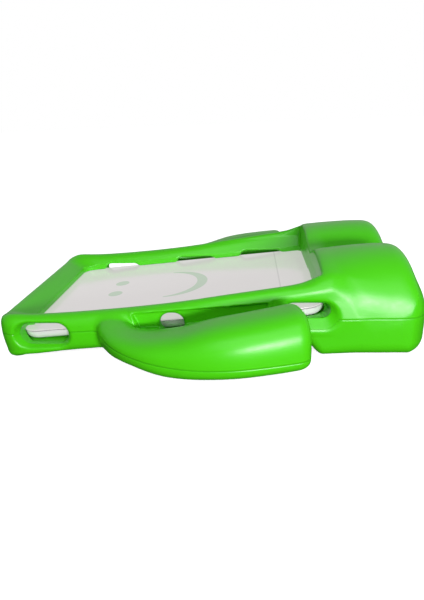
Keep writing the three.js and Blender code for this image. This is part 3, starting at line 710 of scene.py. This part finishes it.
def plate_rings(length, width, corner, profile, per_corner):
    """One ring of the plate's outline for each (inset, height) of the profile."""
    rings = []
    for inset, height in profile:
        outline = rounded_outline(length - 2 * inset, width - 2 * inset, corner - inset, per_corner)
        rings.append(np.column_stack([outline, np.full(len(outline), height)]))
    return rings


def edge_profile(low, high, low_round, high_round, flat=0.6):
    """A plate's profile with both edges rounded, and a narrow flat ring beside each rounding."""
    below = [(inset, low + low_round - rise) for inset, rise in quarter_round(low_round)]
    above = [(inset, high - high_round + rise) for inset, rise in quarter_round(high_round)]
    return [(low_round + flat, low), *below[::-1], *above, (high_round + flat, high)]


def cut(name, base, cutters):
    """The base solid less the cutters, by exact booleans."""
    solids = []
    for places, faces in [base, *cutters]:
        mesh = bpy.data.meshes.new(name)
        mesh.from_pydata(np.asarray(places).tolist(), [], faces)
        solid = bpy.data.objects.new(name, mesh)
        bpy.context.scene.collection.objects.link(solid)
        solids.append(solid)
    for cutter in solids[1:]:
        modifier = solids[0].modifiers.new("cut", "BOOLEAN")
        modifier.operation = "DIFFERENCE"
        modifier.solver = "EXACT"
        modifier.object = cutter
    shaped = solids[0].evaluated_get(bpy.context.evaluated_depsgraph_get()).to_mesh()
    places = [tuple(v.co) for v in shaped.vertices]
    faces = [tuple(f.vertices) for f in shaped.polygons]
    for solid in solids:
        bpy.data.meshes.remove(solid.data)
    return places, faces


def sharp_piece(name, places, faces, slot, replaces, finish, body=BODY):
    """A piece whose edges stay crisp where its faces turn by more than SHARP_ANGLE."""
    piece = new_piece(name, places, faces, replaces)
    piece.data.set_sharp_from_angle(angle=SHARP_ANGLE)
    piece.data.materials.append(finish)
    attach(piece, body)
    return piece


def plate_solid(length, width, corner, profile, per_corner=16):
    points, faces = loft(plate_rings(length, width, corner, profile, per_corner))
    return tablet_places(points), faces


def edge_solid(end, at, length, width, corner, profile, per_corner=8):
    """A pill or plate whose profile's height runs outwards through the tablet's edge."""
    points, faces = loft(plate_rings(length, width, corner, profile, per_corner))
    along, upwards, outwards = points.T
    if end == "side":
        placed = [at + along, TABLET_WIDTH / 2 + outwards, KEY_LEVEL + upwards]
    elif end == "top":
        placed = [-TABLET_LENGTH / 2 - outwards, at + along, KEY_LEVEL + upwards]
    else:
        placed = [TABLET_LENGTH / 2 + outwards, at - along, KEY_LEVEL + upwards]
    places = tablet_places(np.stack(placed, 1))
    mirrored = end != "top"
    return places, [face[::-1] for face in faces] if mirrored else faces


def drum(radius, low, high, along, across, sides=40):
    """A round solid that stands on end through the tablet's thickness."""
    turn = np.radians(np.arange(sides) * 360 / sides)
    ring = np.stack([along + radius * np.cos(turn), across + radius * np.sin(turn)], 1)
    rings = [np.column_stack([ring, np.full(sides, height)]) for height in (low, high)]
    points, faces = loft(rings)
    return tablet_places(points), faces


def straight(low, high):
    """The profile of a plain upright wall."""
    return [(0, low), (0, high)]


def front_glass():
    profile = edge_profile(GLASS_BACK, 0, *GLASS_ROUNDS)
    solid = plate_solid(TABLET_LENGTH, TABLET_WIDTH, TABLET_CORNER, profile)
    sharp_piece("tablet_glass", *solid, "screen_glass", ["front_glass"], screen_material())


def rear_shell():
    """The tray behind the glass, hollowed, with holes for the keys, the sockets and the camera."""
    profile = edge_profile(-TABLET_THICKNESS, SHELL_RIM, SHELL_ROUND, SHELL_RIM_ROUND)
    outer = plate_solid(TABLET_LENGTH, TABLET_WIDTH, TABLET_CORNER, profile)
    inner_length, inner_width = TABLET_LENGTH - 2 * SHELL_WALL, TABLET_WIDTH - 2 * SHELL_WALL
    inner_corner = TABLET_CORNER - SHELL_WALL
    jack_round = JACK_HOLE / 2 - PILL_TRIM
    cutters = [
        plate_solid(inner_length, inner_width, inner_corner, straight(SHELL_FLOOR, 1)),
        drum(CAMERA_RADIUS + CAMERA_GAP, -TABLET_THICKNESS - 1, SHELL_FLOOR + 1, *CAMERA_AT),
        edge_solid("top", JACK_AT, JACK_HOLE, JACK_HOLE, jack_round, straight(-3, 1), 12),
        edge_solid("foot", 0, *PORT_HOLE, straight(-3, 1)),
    ]
    length, width = KEY_LENGTH + KEY_GAP, KEY_WIDTH + KEY_GAP
    for end, at in KEYS.values():
        cutters.append(edge_solid(end, at, length, width, width / 2 - PILL_TRIM, straight(-4, 1)))
    solid = cut("shell", outer, cutters)
    sharp_piece("tablet_shell", *solid, "shell_plastic", ["rear_shell"], shell_material())


def side_keys():
    """The power key and the two volume keys, each with a flange behind the shell's wall."""
    finish = plain_material("key_white", (0.76, 0.75, 0.77), 0.38, grain=900)
    flange = [(-FLANGE_SPREAD, KEY_BACK - FLANGE_THICKNESS), (-FLANGE_SPREAD, KEY_BACK)]
    bar = [(0, KEY_BACK), (0, KEY_PROUD - KEY_ROUND)]
    dome = [(inset, KEY_PROUD - KEY_ROUND + rise) for inset, rise in quarter_round(KEY_ROUND)]
    profile = [*flange, *bar, *dome[1:], (KEY_CROWN[0], KEY_PROUD + KEY_CROWN[1])]
    for name, (end, at) in KEYS.items():
        solid = edge_solid(end, at, KEY_LENGTH, KEY_WIDTH, KEY_WIDTH / 2 - PILL_TRIM, profile)
        sharp_piece(f"{name}_key", *solid, "key_plastic", [f"{name}_button"], finish, f"{name}_button")


def camera_ring():
    """A thin polished ring round the rear camera's window."""
    along, across = CAMERA_AT
    turn = np.radians(np.arange(RING_SIDES) * 360 / RING_SIDES)
    rings = []
    for out, height in RING_SECTION:
        radius = CAMERA_RADIUS + RING_GAP + out
        ring = [along + radius * np.cos(turn), across + radius * np.sin(turn)]
        rings.append(np.column_stack([*ring, np.full(RING_SIDES, height - TABLET_THICKNESS)]))
    faces = []
    for level in range(len(rings)):
        start, after = level * RING_SIDES, (level + 1) % len(rings) * RING_SIDES
        for i in range(RING_SIDES):
            j = (i + 1) % RING_SIDES
            faces.append((start + i, after + i, after + j, start + j))
    finish = steel_material("polished_ring", (0.7, 0.7, 0.72), 0.18)
    sharp_piece("rear_camera_ring", tablet_places(np.vstack(rings)), faces, "steel", [], finish)


# ---- Materials ------------------------------------------------------------------------------


class Nodes:
    """Short calls for building one material's node tree."""

    def __init__(self, name):
        self.material = bpy.data.materials.new(name)
        self.material.use_nodes = True
        self.tree = self.material.node_tree
        self.shader = self.tree.nodes["Principled BSDF"]

    def add(self, kind, **values):
        """A new node, with each value set on its property or else its input of that name."""
        node = self.tree.nodes.new(kind)
        for key, value in values.items():
            if hasattr(node, key):
                setattr(node, key, value)
            else:
                node.inputs[key.replace("_", " ")].default_value = value
        return node

    def link(self, output, target):
        self.tree.links.new(output, target)

    def math(self, operation, a, b=0.0):
        node = self.tree.nodes.new("ShaderNodeMath")
        node.operation = operation
        for socket, value in zip(node.inputs, (a, b)):
            if isinstance(value, (int, float)):
                socket.default_value = value
            else:
                self.link(value, socket)
        return node.outputs[0]

    def place(self):
        return self.add("ShaderNodeTexCoord").outputs["Object"]

    def noise(self, scale, detail=3.0, roughness=0.5):
        node = self.add("ShaderNodeTexNoise", Scale=scale, Detail=detail, Roughness=roughness)
        self.link(self.place(), node.inputs["Vector"])
        return node.outputs["Fac"]

    def mix(self, share, a, b):
        node = self.add("ShaderNodeMix", data_type="RGBA")
        for name, value in (("Factor", share), ("A", a), ("B", b)):
            shown = [s for s in node.inputs if s.name == name and s.enabled]
            socket = next(s for s in shown if s.type in ("RGBA", "VALUE"))
            if isinstance(value, (int, float)):
                socket.default_value = value
            elif isinstance(value, tuple):
                socket.default_value = (*value, 1)
            else:
                self.link(value, socket)
        return next(s for s in node.outputs if s.type == "RGBA")

    def bump(self, height, strength, distance, normal=None):
        node = self.add("ShaderNodeBump", Strength=strength, Distance=distance)
        self.link(height, node.inputs["Height"])
        if normal is not None:
            self.link(normal, node.inputs["Normal"])
        return node.outputs["Normal"]

    def tablet_place(self):
        """How far along and across the tablet a point lies, in millimetres from its middle."""
        outputs = []
        origin = tablet_places([(0, 0, 0)])[0]
        offset = self.add("ShaderNodeVectorMath", operation="SUBTRACT")
        self.link(self.place(), offset.inputs[0])
        offset.inputs[1].default_value = tuple(origin)
        for axis in ((math.cos(TILT), 0, math.sin(TILT)), (0, 1, 0)):
            along = self.add("ShaderNodeVectorMath", operation="DOT_PRODUCT")
            self.link(offset.outputs[0], along.inputs[0])
            along.inputs[1].default_value = tuple(a / MM for a in axis)
            outputs.append(along.outputs["Value"])
        return outputs

    def step(self, value, edge, soft=0.3):
        """From 0 below the edge to 1 above it."""
        ends = {"From_Min": edge - soft, "From_Max": edge + soft}
        node = self.add("ShaderNodeMapRange", interpolation_type="SMOOTHSTEP", **ends)
        self.link(value, node.inputs["Value"])
        return node.outputs["Result"]

    def disc(self, u, v, centre, radius):
        """1 inside a circle and 0 outside it."""
        squares = []
        for value, middle in zip((u, v), centre):
            offset = self.math("SUBTRACT", value, float(middle))
            squares.append(self.math("MULTIPLY", offset, offset))
        distance = self.math("SQRT", self.math("ADD", *squares))
        return self.math("SUBTRACT", 1.0, self.step(distance, radius))

    def set(self, **values):
        """Sets or links the shader's inputs, and gives the material."""
        for key, value in values.items():
            socket = self.shader.inputs[key.replace("_", " ")]
            if isinstance(value, tuple):
                socket.default_value = (*value, 1)
            elif isinstance(value, (int, float)):
                socket.default_value = value
            else:
                self.link(value, socket)
        return self.material


def foam_material():
    """Smooth closed-cell skin, clouded and finely dented, with a groove along the parting line and
    painted shade darkening the colour in it.
    """
    n = Nodes("green_foam")
    cloud = n.noise(18, 3)
    colour = n.mix(n.math("MULTIPLY", cloud, 0.5), FOAM_GREEN, FOAM_DEEP)
    away = n.add("ShaderNodeAttribute", attribute_name="seam").outputs["Fac"]
    groove_and_shade = n.math("EXPONENT", n.math("MULTIPLY", n.math("MULTIPLY", away, away), -5.0))
    # Painted shade: the colour is darkened along the parting line, as if shaded in its groove
    colour = n.mix(n.math("MULTIPLY", groove_and_shade, 0.3), colour, FOAM_SEAM_SHADE)
    skin = n.noise(1400, 2)
    dents = n.noise(120, 3)
    normal = n.bump(skin, 0.10, 0.0002)
    normal = n.bump(dents, 0.10, 0.0006, normal)
    normal = n.bump(n.math("MULTIPLY", groove_and_shade, -1.0), 0.6, 0.0004, normal)
    rough = n.math("ADD", n.math("MULTIPLY", n.noise(300, 2), 0.10), 0.28)
    n.set(Base_Color=colour, Roughness=rough, Normal=normal)
    return n.set(Specular_IOR_Level=0.5, IOR=1.45)


def plain_material(name, colour, roughness, grain, depth=0.00005):
    """A moulded or pressed surface: faint tone variation, fine grain, uneven gloss."""
    n = Nodes(name)
    darker = tuple(0.86 * c for c in colour)
    tone = n.mix(n.noise(grain * 0.1, 4), colour, darker)
    rough = n.math("ADD", n.math("MULTIPLY", n.noise(grain * 0.3, 3), 0.12), roughness - 0.06)
    normal = n.bump(n.noise(grain * 3, 2), 0.15, depth)
    return n.set(Base_Color=tone, Roughness=rough, Normal=normal)


def shell_material():
    n = Nodes("pale_shell")
    tone = n.mix(n.noise(40, 3), (0.80, 0.77, 0.79), (0.72, 0.70, 0.72))
    rough = n.math("ADD", n.math("MULTIPLY", n.noise(200, 3), 0.10), 0.30)
    grain = n.bump(n.noise(2500, 2), 0.08, 0.00003)
    return n.set(Base_Color=tone, Roughness=rough, Normal=grain)


def steel_material(name="pressed_steel", colour=(0.60, 0.61, 0.62), roughness=0.32):
    """Sheet metal with a fine rolled grain along the tablet."""
    n = Nodes(name)
    stretch = n.add("ShaderNodeMapping", Scale=(30, 900, 900))
    n.link(n.place(), stretch.inputs["Vector"])
    grain = n.add("ShaderNodeTexNoise", Detail=3, Scale=1)
    n.link(stretch.outputs["Vector"], grain.inputs["Vector"])
    tone = n.mix(grain.outputs["Fac"], colour, tuple(0.8 * c for c in colour))
    rough = n.math("ADD", n.math("MULTIPLY", grain.outputs["Fac"], 0.15), roughness - 0.07)
    n.set(Base_Color=tone, Roughness=rough, Normal=n.bump(grain.outputs["Fac"], 0.1, 0.00004))
    return n.set(Metallic=1.0)


def screen_material():
    """Pale glass over a lit display that shows two dots and an arc; the glow spreads over the printed
    bezel too, where it is painted light.
    """
    n = Nodes("screen_glass")
    u, v = n.tablet_place()
    eyes = [(EYE_ALONG, side * EYE_APART + FACE_ACROSS) for side in (-1, 1)]
    dots = [n.disc(u, v, eye, EYE_RADIUS) for eye in eyes]
    outer = n.disc(u, v, (SMILE_OUTER[0], FACE_ACROSS), SMILE_OUTER[1])
    inner = n.math("SUBTRACT", 1.0, n.disc(u, v, (SMILE_INNER[0], FACE_ACROSS), SMILE_INNER[1]))
    below = n.step(u, SMILE_START)
    arc = n.math("MULTIPLY", n.math("MULTIPLY", outer, inner), below)
    marks = n.math("MAXIMUM", n.math("MAXIMUM", *dots), arc)
    past = n.math("SUBTRACT", u, DISPLAY_HALF_LENGTH)
    border = n.math("SUBTRACT", n.step(past, -0.5), n.step(past, 0.5))
    colour = n.mix(n.math("MULTIPLY", n.noise(60, 3), 0.3), (0.66, 0.63, 0.63), (0.62, 0.60, 0.59))
    colour = n.mix(marks, colour, (0.44, 0.54, 0.43))
    colour = n.mix(n.math("MULTIPLY", border, 0.35), colour, (0.35, 0.34, 0.34))
    smear = n.noise(45, 4)
    rough = n.math("ADD", n.math("MULTIPLY", smear, 0.14), 0.06)
    # The emission covers the whole glass: a lit display, and painted light on the bezel past the
    # display's edge
    n.set(Base_Color=n.mix(0.55, colour, (0, 0, 0)), Roughness=rough, Emission_Color=colour)
    return n.set(Emission_Strength=SCREEN_GLOW, Specular_IOR_Level=0.4, IOR=1.5)


def board_material():
    """Green solder mask over faint copper tracks."""
    n = Nodes("circuit_board")
    tracks = n.add("ShaderNodeTexBrick", Scale=260, Mortar_Size=0.035)
    n.link(n.place(), tracks.inputs["Vector"])
    colours = {"Color1": (0.02, 0.16, 0.07), "Color2": (0.015, 0.13, 0.06), "Mortar": (0.07, 0.26, 0.10)}
    for name, colour in colours.items():
        tracks.inputs[name].default_value = (*colour, 1)
    normal = n.bump(tracks.outputs["Fac"], 0.3, 0.00003)
    rough = n.math("ADD", n.math("MULTIPLY", n.noise(400, 2), 0.1), 0.30)
    return n.set(Base_Color=tracks.outputs["Color"], Roughness=rough, Normal=normal)


def foil_material():
    """The battery's dull laminated pouch, slightly crinkled."""
    n = Nodes("battery_foil")
    crease = n.add("ShaderNodeTexVoronoi", feature="DISTANCE_TO_EDGE", Scale=70)
    n.link(n.place(), crease.inputs["Vector"])
    tone = n.mix(n.noise(30, 3), (0.25, 0.26, 0.28), (0.18, 0.19, 0.21))
    normal = n.bump(crease.outputs["Distance"], 0.25, 0.0002)
    rough = n.math("ADD", n.math("MULTIPLY", n.noise(150, 3), 0.12), 0.36)
    return n.set(Base_Color=tone, Roughness=rough, Normal=normal, Metallic=0.8)


def film_material():
    """Copper-brown flat cable with its parallel conductors."""
    n = Nodes("flat_cable")
    lines = n.add("ShaderNodeTexWave", bands_direction="Y", Scale=400)
    n.link(n.place(), lines.inputs["Vector"])
    tone = n.mix(lines.outputs["Fac"], (0.42, 0.19, 0.05), (0.30, 0.12, 0.03))
    rough = n.math("ADD", n.math("MULTIPLY", n.noise(300, 2), 0.1), 0.3)
    return n.set(Base_Color=tone, Roughness=rough, Normal=n.bump(lines.outputs["Fac"], 0.2, 0.00004))


def lens_material():
    n = Nodes("dark_lens")
    tone = n.mix(n.noise(200, 2), (0.010, 0.010, 0.016), (0.016, 0.012, 0.022))
    rough = n.math("ADD", n.math("MULTIPLY", n.noise(90, 3), 0.04), 0.03)
    return n.set(Base_Color=tone, Roughness=rough, Coat_Weight=1.0, Coat_Roughness=0.03)


def finish_cad_nodes():
    """Gives each CAD node that still shows its slot's material."""
    finishes = {
        "shell_plastic": shell_material(),
        "gasket_foam": plain_material("gasket_foam", (0.03, 0.03, 0.03), 0.7, grain=900, depth=0.0002),
        "display": plain_material("display_film", (0.72, 0.73, 0.69), 0.25, grain=700),
        "steel": steel_material(),
        "battery_wrap": foil_material(),
        "circuit_board": board_material(),
        "black_plastic": plain_material("black_plastic", (0.022, 0.022, 0.025), 0.45, grain=800),
        "flex_cable": film_material(),
        "lens_glass": lens_material(),
    }
    for part in frame["record"]["subparts"]:
        node, slot = part["node"], part["material_slot"]
        if slot in finishes and not frame["nodes"][node].hide_render:
            materials = frame["nodes"][node].data.materials
            materials.clear()
            materials.append(finishes[slot])


# ---- Stage ----------------------------------------------------------------------------------


def add_camera():
    data = bpy.data.cameras.new("camera")
    data.lens = CAMERA_LENS
    data.sensor_width = 36
    camera = bpy.data.objects.new("camera", data)
    bpy.context.scene.collection.objects.link(camera)
    yaw, fall, ahead = CAMERA_YAW, -math.sin(CAMERA_PITCH), math.cos(CAMERA_PITCH)
    forward = Vector((math.sin(yaw) * ahead, math.cos(yaw) * ahead, fall))
    level = Vector((math.cos(yaw), -math.sin(yaw), 0))
    up = level.cross(forward)
    turn = Matrix.Rotation(CAMERA_ROLL, 3, -forward)
    axes = Matrix((turn @ level, turn @ up, -forward)).transposed()
    camera.matrix_world = Matrix.Translation(CAMERA_PLACE) @ axes.to_4x4()
    bpy.context.scene.camera = camera


def seen_directly(tree):
    return tree.nodes.new("ShaderNodeLightPath").outputs["Is Camera Ray"]


def floor_material():
    """White paper where the camera sees it, but nearly black to light bound for the object."""
    n = Nodes("floor_paper")
    seen = seen_directly(n.tree)
    paper = n.mix(n.noise(30, 3), (0.92, 0.92, 0.92), (0.90, 0.90, 0.90))
    n.set(Base_Color=n.mix(seen, FLOOR_BOUNCE, paper), Roughness=0.9, Specular_IOR_Level=0.0)
    lift = n.math("MULTIPLY", seen, FLOOR_LIFT)
    return n.set(Emission_Color=(1.0, 1.0, 1.0), Emission_Strength=lift)


def add_floor():
    mesh = bpy.data.meshes.new("floor")
    signs = ((-1, -1), (1, -1), (1, 1), (-1, 1))
    corners = [(a * FLOOR_REACH, b * FLOOR_REACH, 0) for a, b in signs]
    mesh.from_pydata(corners, [], [(0, 1, 2, 3)])
    floor = bpy.data.objects.new("floor", mesh)
    bpy.context.scene.collection.objects.link(floor)
    mesh.materials.append(floor_material())


def add_light(name, place, aim, size, power):
    data = bpy.data.lights.new(name, "AREA")
    data.shape = "RECTANGLE"
    data.size, data.size_y = size
    data.energy = power
    light = bpy.data.objects.new(name, data)
    bpy.context.scene.collection.objects.link(light)
    light.location = place
    light.rotation_euler = (Vector(aim) - Vector(place)).to_track_quat("-Z", "Y").to_euler()


def add_world():
    """White where the camera sees it; for the object, a backdrop brighter than the room."""
    world = bpy.data.worlds.new("world")
    world.use_nodes = True
    tree = world.node_tree
    background = tree.nodes["Background"]
    background.inputs["Color"].default_value = (1, 1, 1, 1)
    direction = tree.nodes.new("ShaderNodeSeparateXYZ")
    tree.links.new(tree.nodes.new("ShaderNodeTexCoord").outputs["Generated"], direction.inputs[0])
    backwards = tree.nodes.new("ShaderNodeMapRange")
    backwards.interpolation_type = "SMOOTHSTEP"
    for name, value in zip(("From Min", "From Max", "To Min", "To Max"), (0.0, 0.8, *ROOM_LIGHT)):
        backwards.inputs[name].default_value = value
    tree.links.new(direction.outputs["Y"], backwards.inputs["Value"])
    strength = tree.nodes.new("ShaderNodeMix")
    tree.links.new(seen_directly(tree), strength.inputs[0])
    tree.links.new(backwards.outputs["Result"], strength.inputs[2])
    strength.inputs[3].default_value = 1.0
    tree.links.new(strength.outputs[0], background.inputs["Strength"])
    bpy.context.scene.world = world
    bpy.context.scene.view_settings.view_transform = "Standard"


def make_stage():
    add_camera()
    add_floor()
    add_world()
    add_light("key", **MAIN_LAMP)
    add_light("fill", **FILL_LAMP)


# ---- Assembly -------------------------------------------------------------------------------

make_stage()
foam_case()
front_glass()
rear_shell()
side_keys()
camera_ring()
finish_cad_nodes()
